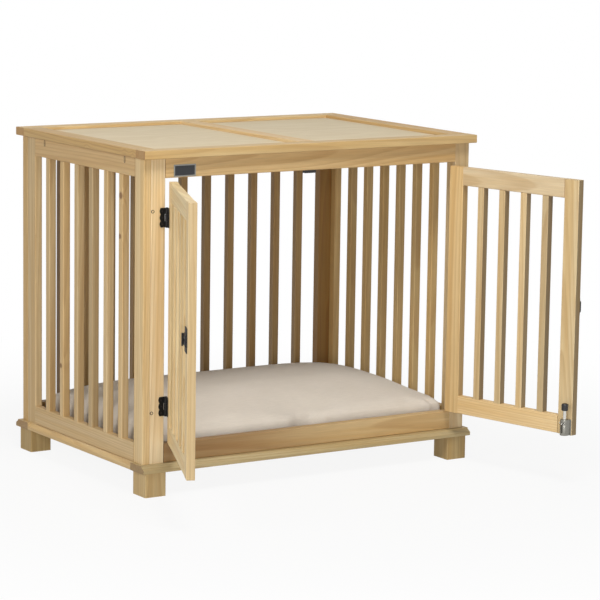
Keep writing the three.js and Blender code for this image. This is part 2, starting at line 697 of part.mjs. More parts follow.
// How much of the floor bolt's dent there is at x: 1 in its middle, 0 beyond its ends.
function dent(x) {
  const boltX = OPENING_X1 - HINGE_GAP / 2 - (DOOR_S1 - BOLT_FROM_EDGE);
  const away = Math.min(Math.abs(x - boltX) / DENT_HALF, 1);
  return Math.cos((Math.PI / 2) * away) ** 2;
}

// A point of the outline moved in by inset, on sides that draw in between the corners.
function drawnIn([u, v], inset) {
  const [halfX, halfY] = CUSHION_HALF;
  const x = CUSHION_MID[0] + u * (halfX - inset - CUSHION_PULL * (1 - v * v));
  const y = CUSHION_MID[1] + v * (halfY - inset - CUSHION_PULL * (1 - u * u));
  const front = Math.max((CUSHION_MID[1] - y) / halfY, 0) ** 6;
  return [x, y + DENT_DEEP * dent(x) * front];
}

function crownHeight(x, y) {
  const swell = [x, y].map((value, i) => {
    const [low, high] = [CUSHION_X, CUSHION_Y][i];
    const peak = low + CUSHION_PEAK[i] * (high - low);
    const share = value < peak ? (value - low) / (peak - low) : (high - value) / (high - peak);
    return 1 - (1 - share) ** CUSHION_FULL[i];
  });
  const front = Math.max((CUSHION_MID[1] - y) / CUSHION_HALF[1], 0) ** 6;
  const rise = (CUSHION_CROWN_Z - CUSHION_EDGE_Z) * swell[0] * swell[1];
  return CUSHION_EDGE_Z + 1 + rise - DENT_LOW * dent(x) * front;
}

// ---- the whole ------------------------------------------------------------------------------
const crate = new THREE.Group();
crate.add(sidePanel("left"));
const right = sidePanel("right");
right.rotation.z = Math.PI;
right.position.set(BODY_W, BODY_D, 0);
crate.add(right);
frontFrame(crate);
backFrame(crate);
tableTop(crate);
base(crate);
feet(crate);
hangDoor(crate, "left");
hangDoor(crate, "right");
doorStop(crate);
cushion(crate);

const footprint = new THREE.Box3().setFromObject(crate, true);
const centre = footprint.getCenter(new THREE.Vector3());
crate.position.set(-centre.x, -centre.y, -footprint.min.z);

const table = new THREE.Group();
table.add(crate);
export default table;
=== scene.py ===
"""Dog crate end table in planed pine: finishes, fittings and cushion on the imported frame.

Sizes are in millimetres from the crate's own corner, x from the left side, y from the front
face and z from the floor, and `at` turns them into the scene's metres. What goes straight to
Blender's tools and to shaders is in metres.
"""
import json
import math
import random

import bpy
from mathutils import Matrix, Vector


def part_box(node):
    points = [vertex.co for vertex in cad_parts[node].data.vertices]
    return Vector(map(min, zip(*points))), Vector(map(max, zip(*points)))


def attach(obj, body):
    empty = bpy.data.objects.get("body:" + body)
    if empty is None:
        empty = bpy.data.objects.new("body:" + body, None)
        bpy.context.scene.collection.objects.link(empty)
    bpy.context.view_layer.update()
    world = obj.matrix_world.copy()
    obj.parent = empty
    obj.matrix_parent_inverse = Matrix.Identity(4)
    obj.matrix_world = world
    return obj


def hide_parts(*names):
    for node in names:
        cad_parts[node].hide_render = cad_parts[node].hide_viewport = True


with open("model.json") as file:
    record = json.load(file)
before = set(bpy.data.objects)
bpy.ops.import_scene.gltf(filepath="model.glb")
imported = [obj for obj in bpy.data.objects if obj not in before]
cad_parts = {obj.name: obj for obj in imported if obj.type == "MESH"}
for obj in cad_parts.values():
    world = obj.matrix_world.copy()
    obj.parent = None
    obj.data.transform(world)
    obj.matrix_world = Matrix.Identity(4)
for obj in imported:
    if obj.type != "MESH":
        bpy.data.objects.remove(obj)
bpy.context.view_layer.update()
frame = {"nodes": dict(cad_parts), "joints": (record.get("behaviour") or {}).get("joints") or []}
nodes = frame["nodes"]
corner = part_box("left_front_stile")[0]

# The crate's own measures.
BODY_W, BODY_D = 748, 494  # over the side panels, and over the front and back frames
BODY_FOOT = 62  # underside of panels and frames
SIDE_T = 15.6  # stock of the side panels and doors
WIDE_STILE, NARROW_STILE = 33.4, 30.7  # the back frame's, at the left and at the right
RAIL_H = 36.5
SLAT_W = 15.4
SIDE_SLAT_FIRST, SIDE_SLAT_PITCH = 89, 59.6
BACK_SLATS, DOOR_SLATS = 11, 4
DOOR_FOOT, DOOR_W, DOOR_STILE, DOOR_RAIL_H = 102, 328, 35, 35.5
DOOR_GAP = 1.6  # from a hinge pin along to the door's near edge
PIN_OUT = 3.5  # from the doors' outer face out to a hinge pin
HINGE_H = 37
HINGE_MIDS = {"lower": 171.5, "upper": 532.0}
LATCH_MID = 353.5


def at(x, y, z):
    """A point of the crate in the scene's metres."""
    return Vector((corner.x + x / 1000, corner.y + y / 1000, z / 1000))


def crate_xy(co):
    """The x and y of a point of the scene in the crate's millimetres."""
    return (co.x - corner.x) * 1000, (co.y - corner.y) * 1000


# The doors stand open. Each has its own frame: s runs along it from the hinge pin to its free
# edge, t through it from the pin's depth inwards, so that its outer face is at PIN_OUT.
hinges = {joint["child"]: joint for joint in frame["joints"]}
DOOR_PIN = {side: Vector(hinges[f"{side}_door"]["pos_m"][:2] + [0]) for side in ("left", "right")}
DOOR_TURN = {"left": math.radians(-114), "right": math.radians(103 - 180)}
THROUGH = {"left": 1, "right": -1}


def on_door(side, s, t, z):
    """A point of a door in the scene's metres."""
    turn = Matrix.Rotation(DOOR_TURN[side], 3, "Z")
    flat = Vector((s / 1000, THROUGH[side] * t / 1000, 0))
    return DOOR_PIN[side] + turn @ flat + Vector((0, 0, z / 1000))


def inward(side):
    """The direction through a door, from its outer face to its inner one."""
    return Matrix.Rotation(DOOR_TURN[side], 3, "Z") @ Vector((0, THROUGH[side], 0))


# ---- colours ----------------------------------------------------------------------------------
def colour(text):
    """An sRGB hex value as a linear colour."""
    parts = [int(text[i : i + 2], 16) / 255 for i in (1, 3, 5)]
    return [p / 12.92 if p <= 0.04045 else ((p + 0.055) / 1.055) ** 2.4 for p in parts] + [1.0]


def tinted(linear, red, green, blue):
    """A linear colour with each part scaled."""
    return [min(linear[0] * red, 1), min(linear[1] * green, 1), min(linear[2] * blue, 1), 1.0]


# ---- shader nodes -----------------------------------------------------------------------------
def add(tree, kind, links, **settings):
    """Adds a shader node with its settings, and sets or links its inputs."""
    made = tree.nodes.new("ShaderNode" + kind)
    for key, value in settings.items():
        setattr(made, key, value)
    for key, value in links.items():
        if isinstance(value, bpy.types.NodeSocket):
            tree.links.new(value, made.inputs[key])
        else:
            made.inputs[key].default_value = value
    return made.outputs


def calc(tree, operation, *values):
    """The number that a Math operation gives."""
    return add(tree, "Math", dict(enumerate(values)), operation=operation)[0]


def vector(tree, operation, *values):
    """The vector that a VectorMath operation gives."""
    return add(tree, "VectorMath", dict(enumerate(values)), operation=operation)["Vector"]


def measure(tree, operation, *values):
    """The number that a VectorMath operation such as a length gives."""
    return add(tree, "VectorMath", dict(enumerate(values)), operation=operation)["Value"]


def scaled(tree, hue, by):
    """A colour scaled by a number."""
    return add(tree, "VectorMath", {0: hue, "Scale": by}, operation="SCALE")["Vector"]


def blend(tree, share, first, second):
    """A colour between two, the first where the share is 0 and the second where it is 1."""
    return add(tree, "Mix", {0: share, 6: first, 7: second}, data_type="RGBA")[2]


def spread(tree, value, low, high, reach=(0.0, 1.0), ease="LINEAR"):
    """A value whose reach is mapped from low to high, and held beyond its ends."""
    links = {"Value": value, "From Min": reach[0], "From Max": reach[1], "To Min": low, "To Max": high}
    return add(tree, "MapRange", links, interpolation_type=ease)[0]


def mapped(tree, spot, **places):
    """A point scaled, turned and moved."""
    return add(tree, "Mapping", {"Vector": spot, **places})[0]


def noise(tree, spot, detail=2.0, scale=1.0, **more):
    """A noise texture at a point."""
    return add(tree, "TexNoise", {"Vector": spot, "Scale": scale, "Detail": detail, **more})


def emboss(tree, shader, height, strength, distance):
    """Gives a shader a bump."""
    bump = add(tree, "Bump", {"Height": height, "Strength": strength, "Distance": distance})[0]
    tree.links.new(bump, shader.inputs["Normal"])


def bare_finish(name, **sockets):
    """A material with its shader's own sockets set, its node tree and that shader."""
    finish = bpy.data.materials.new(name)
    finish.use_nodes = True
    shader = finish.node_tree.nodes["Principled BSDF"]
    for key, value in sockets.items():
        shader.inputs[key.replace("_", " ")].default_value = value
    return finish, finish.node_tree, shader


def wear(piece, finish):
    """Puts a finish on a CAD node or a new piece."""
    if piece.material_slots:
        piece.material_slots[0].material = finish
    else:
        piece.data.materials.append(finish)


# ---- pine -------------------------------------------------------------------------------------
RING = 0.0052  # metres between growth rings, of fast-grown pine
RING_WAVER = 1.6  # rings by which the years are narrower or wider
SWAY = 0.022  # metres that the trunk wanders off its line
BOARD_SHIFT = (0.07, 0.05, 3.0)  # metres between the places in the trunk of two slats
LATE_WOOD = ((0.4, 0.12), (0.82, 0.9), (0.93, 0.8))  # place in a ring, and how dark it is there
BAND_SCALE = (55, 55, 1.7)
FIBRE_SCALE = (700, 700, 14)
KNOT_REACH = 0.35  # what is left of a knot's swelling at each further width of it
KNOT_RINGS = 3.0
# Tints of the tone: pale and dark part of a ring, warm bands, knots and end grain, and painted shade on
# the sides of slats and on doors' edges.
SPRING_WOOD = (1.1, 1.12, 1.16)
SUMMER_WOOD = (0.76, 0.62, 0.46)
WARM_BAND = (1.0, 0.92, 0.78)
KNOT_HEART = (0.42, 0.3, 0.2)
END_GRAIN = (0.66, 0.56, 0.48)
SLAT_SIDE_SHADE = (0.85, 0.82, 0.78)
DOOR_EDGE_SHADE = (1.0, 0.95, 0.88)
ACROSS = {"x": (0, -math.pi / 2, 0), "y": (math.pi / 2, 0, 0), "z": (0, 0, 0)}


def middle_of(piece, side):
    """The centre of a stick, in its door's frame where it is part of one."""
    points = [v.co.copy() for v in piece.data.vertices]
    if side:
        back = Matrix.Rotation(-DOOR_TURN[side], 3, "Z")
        points = [back @ (p - DOOR_PIN[side]) for p in points]
    low = [min(p[i] for p in points) for i in range(3)]
    high = [max(p[i] for p in points) for i in range(3)]
    return Vector([(a + b) / 2 for a, b in zip(low, high)])


def slat_boards(tree, spot, stick, centre, seed, rail, slats):
    """Points and shade of a slatted piece: above the rail, each slat is from its own board."""
    run, first, pitch, rail_top = slats
    other, axis = ("Y", 1) if run == "X" else ("X", 0)
    parts = add(tree, "SeparateXYZ", {0: spot})
    count = calc(tree, "DIVIDE", calc(tree, "SUBTRACT", parts[run], first - pitch / 2), pitch)
    number = calc(tree, "FLOOR", count)
    lot = add(tree, "TexWhiteNoise", {"W": calc(tree, "ADD", number, seed)}, noise_dimensions="1D")
    across = calc(tree, "MULTIPLY_ADD", calc(tree, "FRACT", count), pitch, -pitch / 2)
    through = calc(tree, "SUBTRACT", parts[other], centre[axis])
    upright = add(tree, "CombineXYZ", {0: across, 1: through, 2: parts["Z"]})[0]
    board = vector(tree, "MULTIPLY_ADD", lot["Color"], BOARD_SHIFT, upright)
    above = calc(tree, "GREATER_THAN", parts["Z"], rail_top)
    stick = add(tree, "Mix", {0: above, 4: stick, 5: board}, data_type="VECTOR")[1]
    own = spread(tree, lot["Value"], 0.8, 1.14)
    return stick, add(tree, "Mix", {0: above, 2: rail, 3: own}, data_type="FLOAT")[0]


def growth(tree, log, ring):
    """The years counted out from the pith, along a trunk that sways a little."""
    sway = noise(tree, mapped(tree, log, Scale=(9, 9, 1.6)), detail=1.5)["Color"]
    away = vector(tree, "MULTIPLY_ADD", sway, (SWAY, SWAY, 0), log)
    radius = measure(tree, "LENGTH", vector(tree, "MULTIPLY", away, (1, 1, 0)))
    years = calc(tree, "DIVIDE", radius, ring)
    spell = {"W": calc(tree, "MULTIPLY", years, 0.4), "Scale": 1.0}
    fat = add(tree, "TexNoise", spell, noise_dimensions="1D")["Fac"]
    return calc(tree, "MULTIPLY_ADD", fat, RING_WAVER, years)


def late_wood(tree, years):
    """How dark the wood is within each ring."""
    late = add(tree, "ValToRGB", {"Fac": calc(tree, "FRACT", years)})[0]
    ramp = late.node.color_ramp
    ramp.elements[0].color = (0, 0, 0, 1)
    ramp.elements[1].color = (0, 0, 0, 1)
    for place, grey in LATE_WOOD:
        ramp.elements.new(place).color = (grey, grey, grey, 1)
    return late


def pine(
    piece, grain, tone, seed, side=None,
    slats=None, rail=1.0, ring=RING, depth=1.0, knots=(), left_fade=None, edges=1.0,
):
    """Planed pine under clear satin lacquer, solid through the stick so that its ends show rings.

    Pale spring wood darkens to a brown line in each ring, the fibres run with the stick, and wide
    bands along it are warmer or paler. Slats come from other boards than their rail. Ends are darker
    as end grain, while the sides of slats and a door's edges are darker as painted shade. A stick may
    also be darker and redder towards its left, from one x to another.
    """
    chance = random.Random(seed)
    finish, tree, shader = bare_finish("pine_" + piece.name, Roughness=0.55)
    base = colour(tone)
    spot = add(tree, "TexCoord", {})["Object"]
    if side:
        links = {"Vector": spot, "Location": DOOR_PIN[side], "Rotation": (0, 0, DOOR_TURN[side])}
        spot = add(tree, "Mapping", links, vector_type="TEXTURE")[0]
    centre = middle_of(piece, side)
    turn_x, turn_y, _ = ACROSS[grain]
    to_centre = -(Matrix.Rotation(turn_y, 3, "Y") @ Matrix.Rotation(turn_x, 3, "X") @ centre)
    stick = mapped(tree, spot, Rotation=ACROSS[grain], Location=to_centre)
    shade = None
    if slats:
        stick, shade = slat_boards(tree, spot, stick, centre, seed, rail, slats)

    pith = (chance.uniform(-0.05, 0.05), chance.choice((-1, 1)) * chance.uniform(0.018, 0.06), 0)
    lean = (chance.uniform(-0.03, 0.03), chance.uniform(-0.03, 0.03), 0)
    log = mapped(tree, stick, Rotation=lean, Location=pith)
    years = growth(tree, log, ring)
    marks = []
    for x, y, z, size in knots:
        core = measure(tree, "DISTANCE", spot, at(x, y, z))
        near = calc(tree, "DIVIDE", core, size / 1000)
        years = calc(tree, "MULTIPLY_ADD", calc(tree, "POWER", KNOT_REACH, near), KNOT_RINGS, years)
        marks.append(spread(tree, near, 1.0, 0.0, (0.45, 1.0), "SMOOTHSTEP"))
    late = late_wood(tree, years)
    band = noise(tree, mapped(tree, log, Scale=BAND_SCALE))["Fac"]
    fibre = noise(tree, mapped(tree, log, Scale=FIBRE_SCALE), detail=3.0)["Fac"]

    warmth = spread(tree, band, 0.0, 0.9, (0.4, 0.64))
    mellow = blend(tree, warmth, tinted(base, *SPRING_WOOD), tinted(base, *WARM_BAND))
    share = calc(tree, "MULTIPLY", late, 0.5 * depth)
    figure = blend(tree, share, mellow, tinted(base, *SUMMER_WOOD))
    streak = spread(tree, fibre, 0.9, 1.08, (0.25, 0.75))
    if shade:
        streak = calc(tree, "MULTIPLY", streak, shade)
    whole = scaled(tree, figure, streak)
    for mark in marks:
        whole = blend(tree, mark, whole, tinted(base, *KNOT_HEART))
    # Darker and redder towards the left, from one x to another.
    if left_fade:
        reach = (corner.x + left_fade[0] / 1000, corner.x + left_fade[1] / 1000)
        x = add(tree, "SeparateXYZ", {0: spot})["X"]
        reddened = spread(tree, x, 1.0, 0.0, reach, "SMOOTHSTEP")
        whole = blend(tree, reddened, whole, vector(tree, "MULTIPLY", whole, left_fade[2]))

    # Faces across the grain are darkened: a stick's ends as end grain, and the sides of slats and the
    # edges of doors as painted shade.
    facing = add(tree, "TexCoord", {})["Normal"]
    if side:
        along_door = Matrix.Rotation(DOOR_TURN[side], 3, "Z") @ Vector((1, 0, 0))
        onto = measure(tree, "DOT_PRODUCT", facing, along_door)
        dark = [edges * part for part in DOOR_EDGE_SHADE]
    else:
        onto = add(tree, "SeparateXYZ", {0: facing})[grain.upper()]
        dark = SLAT_SIDE_SHADE if slats else END_GRAIN
    end_grain_or_shaded_side = calc(tree, "GREATER_THAN", calc(tree, "ABSOLUTE", onto), 0.9)
    with_ends_and_shade = blend(tree, end_grain_or_shaded_side, whole, vector(tree, "MULTIPLY", whole, dark))
    tree.links.new(with_ends_and_shade, shader.inputs["Base Color"])
    tree.links.new(spread(tree, late, 0.6, 0.48), shader.inputs["Roughness"])
    emboss(tree, shader, calc(tree, "ADD", fibre, late), 0.25, 0.00025)
    return finish


# How slats stand: the axis they are set along, the middle of the first, their pitch, and the top
# of their rail. Those of a door are in its own frame.
RAIL_TOP = (BODY_FOOT + RAIL_H) / 1000
DOOR_RAIL_TOP = (DOOR_FOOT + DOOR_RAIL_H) / 1000
BACK_OPENING = BODY_W - SIDE_T - NARROW_STILE - WIDE_STILE
BACK_PITCH = (BACK_OPENING + SLAT_W) / (BACK_SLATS + 1)
BACK_FIRST = WIDE_STILE - SLAT_W / 2 + BACK_PITCH
DOOR_PITCH = (DOOR_W - 2 * DOOR_STILE + SLAT_W) / (DOOR_SLATS + 1)
DOOR_FIRST = DOOR_GAP + DOOR_STILE - SLAT_W / 2 + DOOR_PITCH
side_slats = ("Y", corner.y + SIDE_SLAT_FIRST / 1000, SIDE_SLAT_PITCH / 1000, RAIL_TOP)
back_slats = ("X", corner.x + BACK_FIRST / 1000, BACK_PITCH / 1000, RAIL_TOP)
door_slats = ("X", DOOR_FIRST / 1000, DOOR_PITCH / 1000, DOOR_RAIL_TOP)

# Knots, each with its place and the reach of its dark heart.
LEFT_SLAT_KNOTS = ((0, 89, 566, 9), (0, 92, 488, 7), (2, 330, 200, 7))
TOP_EDGE_KNOTS = ((-14, 30, 653, 8), (-14, 62, 656, 6), (-14, 210, 648, 5))

# Each stick with the run of its grain and its own tone, as boards differ; the back slats and the back
# right stile are given darker tones as painted shade inside the crate.
STICKS = {
    "left_front_stile": ("z", "#D6BC8D", {}),
    "left_rear_stile": ("z", "#C4AA7E", {}),
    "left_slats_and_rail": ("y", "#C6AC80", {"slats": side_slats, "knots": LEFT_SLAT_KNOTS}),
    "left_top_rail": ("y", "#C8A877", {}),
    "right_front_stile": ("z", "#D6BE92", {}),
    "right_rear_stile": ("z", "#C0A06A", {}),
    "right_slats_and_rail": ("y", "#C3A672", {"slats": side_slats}),
    "right_top_rail": ("y", "#C2A371", {}),
    "front_left_stile": ("z", "#DFCAA3", {}),
    "front_right_stile": ("z", "#D3BC94", {}),
    "apron": ("x", "#CDAC78", {}),
    "sill": ("x", "#C5A878", {"ring": 0.012, "left_fade": (150, 520, (0.56, 0.48, 0.40))}),
    "back_left_stile": ("z", "#C2A26E", {}),
    # These two tones are darkened as painted shade inside the crate.
    "back_right_stile": ("z", "#8E6B36", {}),
    "back_slats_and_rail": ("x", "#A98C5F", {"slats": back_slats}),
    "back_top_rail": ("x", "#B99969", {}),
    "top_front_rail": ("x", "#CBAE7B", {}),
    "top_back_rail": ("x", "#D6B986", {}),
    "top_left_rail": ("y", "#C2A471", {"depth": 1.5, "knots": TOP_EDGE_KNOTS}),
    "top_right_rail": ("y", "#C8A772", {}),
    "top_centre_rail": ("y", "#DBBE8E", {}),
    "base_front_moulding": ("x", "#B4A177", {}),
    "base_back_moulding": ("x", "#BDA67A", {}),
    "base_left_moulding": ("y", "#CCB284", {}),
    "base_right_moulding": ("y", "#C6AC7E", {}),
    "front_left_foot": ("z", "#C2A877", {}),
    "front_right_foot": ("z", "#B29969", {}),
    "rear_left_foot": ("z", "#AF9665", {}),
    "rear_right_foot": ("z", "#B69C6C", {}),
    # A door's edges value sets how dark the painted shade on its edges and slat sides is.
    "left_door_hinge_stile": ("z", "#E8D2A3", {"edges": 0.8}),
    "left_door_lock_stile": ("z", "#E3CC9F", {"edges": 0.72}),
    "left_door_slats_and_rail": ("x", "#E7D0A1", {"slats": door_slats}),
    "left_door_top_rail": ("x", "#E7D2A5", {}),
    "right_door_hinge_stile": ("z", "#D9BB87", {"edges": 0.7}),
    "right_door_lock_stile": ("z", "#D1B98D", {"edges": 0.45}),
    "right_door_slats_and_rail": ("x", "#CDB386", {"slats": door_slats, "edges": 0.45, "rail": 1.3}),
    "right_door_top_rail": ("x", "#D3BE9A", {}),
}
for number, (name, (grain, tone, details)) in enumerate(STICKS.items()):
    door = name.split("_")[0] if "_door_" in name else None
    wear(nodes[name], pine(nodes[name], grain, tone, number, side=door, **details))


def birch_ply(name, tone):
    """Sanded plywood, rotary-cut: wide faint flames along the sheet, paler and greyer than pine."""
    finish, tree, shader = bare_finish(name, Roughness=0.6)
    base = colour(tone)
    spot = add(tree, "TexCoord", {})["Object"]
    wave = noise(tree, mapped(tree, spot, Scale=(1.8, 14, 14)), Distortion=0.6)["Fac"]
    pore = noise(tree, mapped(tree, spot, Scale=(30, 900, 900)))["Fac"]
    flames = calc(tree, "SINE", calc(tree, "MULTIPLY", wave, 60.0))
    flame = spread(tree, flames, 0.0, 0.45, (-1.0, 1.0))
    figure = blend(tree, flame, tinted(base, 1.03, 1.03, 1.04), tinted(base, 0.9, 0.86, 0.78))
    streak = spread(tree, pore, 0.95, 1.04, (0.3, 0.7))
    tree.links.new(scaled(tree, figure, streak), shader.inputs["Base Color"])
    emboss(tree, shader, pore, 0.15, 0.0002)
    return finish


panel_ply = birch_ply("birch_ply_panel", "#DFCEAC")
for name in ("top_left_panel", "top_right_panel", "floor_board"):
    wear(nodes[name], panel_ply)


# ---- metal and plastic ------------------------------------------------------------------------
def powder_coat(name, tone, roughness):
    """Powder-coated pressed steel: near black, with a fine orange peel drawn at 1.2 mm."""
    sockets = {"Roughness": roughness, "Base_Color": colour(tone), "Specular_IOR_Level": 0.3}
    finish, tree, shader = bare_finish(name, **sockets)
    peel = noise(tree, add(tree, "TexCoord", {})["Object"], scale=820.0)["Fac"]
    dusty = spread(tree, peel, roughness - 0.08, roughness + 0.12)
    tree.links.new(dusty, shader.inputs["Roughness"])
    emboss(tree, shader, peel, 0.3, 0.0002)
    return finish


def die_cast(name, tone, roughness):
    """Tumbled zinc casting: dull grey metal with the soft mottling of its skin."""
    finish, tree, shader = bare_finish(name, Metallic=0.85, Roughness=roughness)
    base = colour(tone)
    skin = noise(tree, add(tree, "TexCoord", {})["Object"], detail=3.0, scale=380.0)["Fac"]
    mottled = blend(tree, skin, tinted(base, 0.7, 0.7, 0.7), tinted(base, 1.25, 1.25, 1.25))
    tree.links.new(mottled, shader.inputs["Base Color"])
    emboss(tree, shader, skin, 0.3, 0.0002)
    return finish


def bright_plate(name, tone, roughness):
    """Bright nickel or chrome plate, with the faint rings of turned metal round its z."""
    finish, tree, shader = bare_finish(name, Metallic=1.0, Base_Color=colour(tone))
    spot = mapped(tree, add(tree, "TexCoord", {})["Object"], Scale=(40, 40, 1500))
    rings = noise(tree, spot, detail=1.0)["Fac"]
    turned = spread(tree, rings, roughness * 0.6, roughness * 1.6)
    tree.links.new(turned, shader.inputs["Roughness"])
    return finish


def moulded_abs(name, tone, roughness):
    """Injection-moulded ABS: satin, with a fine spark-eroded texture drawn at 0.8 mm."""
    finish, tree, shader = bare_finish(name, Roughness=roughness, IOR=1.54, Base_Color=colour(tone))
    grit = noise(tree, add(tree, "TexCoord", {})["Object"], detail=1.0, scale=1250.0)["Fac"]
    satin = spread(tree, grit, roughness - 0.06, roughness + 0.1)
    tree.links.new(satin, shader.inputs["Roughness"])
    emboss(tree, shader, grit, 0.2, 0.0001)
    return finish


black_steel = powder_coat("powder_coated_steel", "#161514", 0.5)
screw_steel = powder_coat("blackened_screw_steel", "#262422", 0.35)
cast_zinc = die_cast("die_cast_zinc", "#8B8981", 0.42)
chrome = bright_plate("chrome_plate", "#D5D2CB", 0.14)
knob_abs = moulded_abs("moulded_abs_black", "#151416", 0.34)
badge_rim = bright_plate("satin_nickel_rim", "#94938D", 0.34)
badge_field = moulded_abs("badge_field_black", "#1E2024", 0.3)

for name, node in nodes.items():
    if any(part in name for part in ("hinge_post_leaf", "hinge_door_leaf", "hinge_pin", "latch")):
        wear(node, black_steel)
wear(nodes["floor_bolt_housing"], cast_zinc)
wear(nodes["floor_bolt_rod"], chrome)
wear(nodes["floor_bolt_knob"], knob_abs)
wear(nodes["door_stop"], knob_abs)


# ---- modelling helpers ------------------------------------------------------------------------
def alone(piece=None):
    """Leaves nothing selected but the piece, and makes it the active one."""
    if bpy.context.mode != "OBJECT":
        bpy.ops.object.mode_set(mode="OBJECT")
    bpy.ops.object.select_all(action="DESELECT")
    if piece:
        piece.select_set(True)
        bpy.context.view_layer.objects.active = piece


def pick(piece, test):
    """In edit mode with faces selected by test(face), and nothing else."""
    alone(piece)
    for part in (piece.data.vertices, piece.data.edges, piece.data.polygons):
        part.foreach_set("select", [False] * len(part))
    for face in piece.data.polygons:
        face.select = test(face)
    bpy.ops.object.mode_set(mode="EDIT")
    bpy.ops.mesh.select_mode(type="FACE")


def pick_edges(piece, test):
    """In edit mode with edges selected by test(end, other end), and nothing else."""
    alone(piece)
    bpy.ops.object.mode_set(mode="EDIT")
    bpy.ops.mesh.select_all(action="DESELECT")
    bpy.ops.mesh.select_mode(type="EDGE")
    bpy.ops.object.mode_set(mode="OBJECT")
    for edge in piece.data.edges:
        edge.select = test(*(piece.data.vertices[i].co for i in edge.vertices))
    bpy.ops.object.mode_set(mode="EDIT")


def settle(piece):
    """Bakes the piece's place into its mesh and smooths what isn't an edge."""
    alone(piece)
    bpy.ops.object.transform_apply(location=True, rotation=True, scale=True)
    bpy.ops.object.shade_smooth_by_angle(angle=math.radians(35))


def cylinder(name, vertices, radius, depth, place=(0, 0, 0)):
    """An upright cylinder with its middle at place."""
    alone()
    bpy.ops.mesh.primitive_cylinder_add(vertices=vertices, radius=radius, depth=depth, location=place)
    bpy.context.object.name = name
    return bpy.context.object


def cuboid(name, size, place):
    """A box of a size with its middle at place."""
    alone()
    bpy.ops.mesh.primitive_cube_add(size=1, location=place)
    made = bpy.context.object
    made.name = name
    bpy.ops.transform.resize(value=size)
    bpy.ops.object.transform_apply(location=True, rotation=True, scale=True)
    return made


def combine(piece, other, operation):
    """Joins another form to a piece or cuts it out, and takes the other away."""
    alone(piece)
    made = piece.modifiers.new("shape", "BOOLEAN")
    made.object = other
    made.operation = operation
    made.solver = "EXACT"
    bpy.ops.object.modifier_apply(modifier="shape")
    bpy.data.objects.remove(other)


# ---- screws and bolts -------------------------------------------------------------------------
def screw_head():
    """A countersunk head of 3.6 mm with a cross recess, standing just proud."""
    long, narrow, deep = 0.0022, 0.0005, 0.0008
    head = cylinder("screw_head", 20, 0.0018, 0.0006)
    pick(head, lambda face: face.normal.z > 0.9)
    bpy.ops.mesh.inset(thickness=0.00025)
    bpy.ops.transform.translate(value=(0, 0, 0.00012))
    for size in ((long, narrow, deep), (narrow, long, deep)):
        combine(head, cuboid("recess", size, (0, 0, 0.0004)), "DIFFERENCE")
    wear(head, screw_steel)
    settle(head)
    return head


def socket_bolt():
    """The 6.8 mm head of a connector bolt with its socket, sunk level with the wood."""
    head = cylinder("socket_bolt", 24, 0.0034, 0.001, (0, 0, -0.00035))
    pick(head, lambda face: face.normal.z > 0.9)
    bpy.ops.mesh.inset(thickness=0.0005)
    bpy.ops.transform.translate(value=(0, 0, 0.0001))
    bpy.ops.mesh.inset(thickness=0.0007)
    bpy.ops.mesh.extrude_region_move(TRANSFORM_OT_translate={"value": (0, 0, -0.0007)})
    wear(head, black_steel)
    settle(head)
    return head


def fit(master, name, place, out, body, turn=0.0):
    """Sets a copy of a fastener on its face, its axis along out, and lets it ride with the body."""
    piece = bpy.data.objects.new(name, master.data.copy())
    bpy.context.scene.collection.objects.link(piece)
    aim = out.to_track_quat("Z", "Y").to_matrix().to_4x4()
    piece.data.transform(Matrix.Translation(place) @ aim @ Matrix.Rotation(turn, 4, "Z"))
    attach(piece, body)


POSTS = (("left", 47.9, -1), ("right", 713.0, 1))  # hinge pin's x, and the leaf's way from it
LEAF_OUT = 1.75  # a leaf's face, out from the wood
LEAF_SCREWS = ((8.8, -12.3), (8.2, 0), (8.8, 12.3))  # off the pin, and off the hinge's middle
PLATE_OUT = 1.85  # latch case and keeper's face, out from the door
CASE_SCREWS = ((303.0, -17.3), (322.2, -17.3), (303.0, 17.3), (322.2, 17.3))
KEEPER_SCREWS = ((321.6, -14.6), (321.6, 14.6))
STOP_SCREWS, STOP_Y, STOP_Z = (373.0, 388.0), 26.55, 617
BOLT_IN = 19.4  # connector bolts, in from the frame's edge
BOLT_LEVELS = (("lower", 160), ("upper", 544.4))
OUTWARD, BACKWARD = Vector((0, -1, 0)), Vector((0, 1, 0))

screw = screw_head()
bolt = socket_bolt()
for side, pin_x, away in POSTS:
    for level, mid in HINGE_MIDS.items():
        name = f"{side}_{level}_hinge"
        for number, (reach, rise) in enumerate(LEAF_SCREWS):
            spin = 0.7 + number * 1.1 + mid
            post = at(pin_x + away * reach, -LEAF_OUT, mid + rise)
            fit(screw, f"{name}_post_screw_{number + 1}", post, OUTWARD, "carcass", spin)
            leaf = on_door(side, reach, PIN_OUT - LEAF_OUT, mid + rise)
            fit(screw, f"{name}_door_screw_{number + 1}", leaf, -inward(side), f"{side}_door", spin)

for number, (s, rise) in enumerate(CASE_SCREWS):
    place = on_door("left", s, PIN_OUT - PLATE_OUT, LATCH_MID + rise)
    fit(screw, f"latch_case_screw_{number + 1}", place, -inward("left"), "left_door", number)
for number, (s, rise) in enumerate(KEEPER_SCREWS):
    place = on_door("right", s, PIN_OUT - PLATE_OUT, LATCH_MID + rise)
    fit(screw, f"latch_keeper_screw_{number + 1}", place, -inward("right"), "right_door", number)
for number, x in enumerate(STOP_SCREWS):
    fit(screw, f"door_stop_screw_{number + 1}", at(x, STOP_Y, STOP_Z), BACKWARD, "carcass", number)

for name, x, y, out in (
    ("front_left", BOLT_IN, 0, OUTWARD),
    ("front_right", BODY_W - BOLT_IN, 0, OUTWARD),
    ("back_left", BOLT_IN, BODY_D, BACKWARD),
    ("back_right", BODY_W - SIDE_T - BOLT_IN, BODY_D, BACKWARD),
):
    for level, z in BOLT_LEVELS:
        fit(bolt, f"{name}_{level}_bolt", at(x, y, z), out, "carcass")
bpy.data.objects.remove(screw)
bpy.data.objects.remove(bolt)


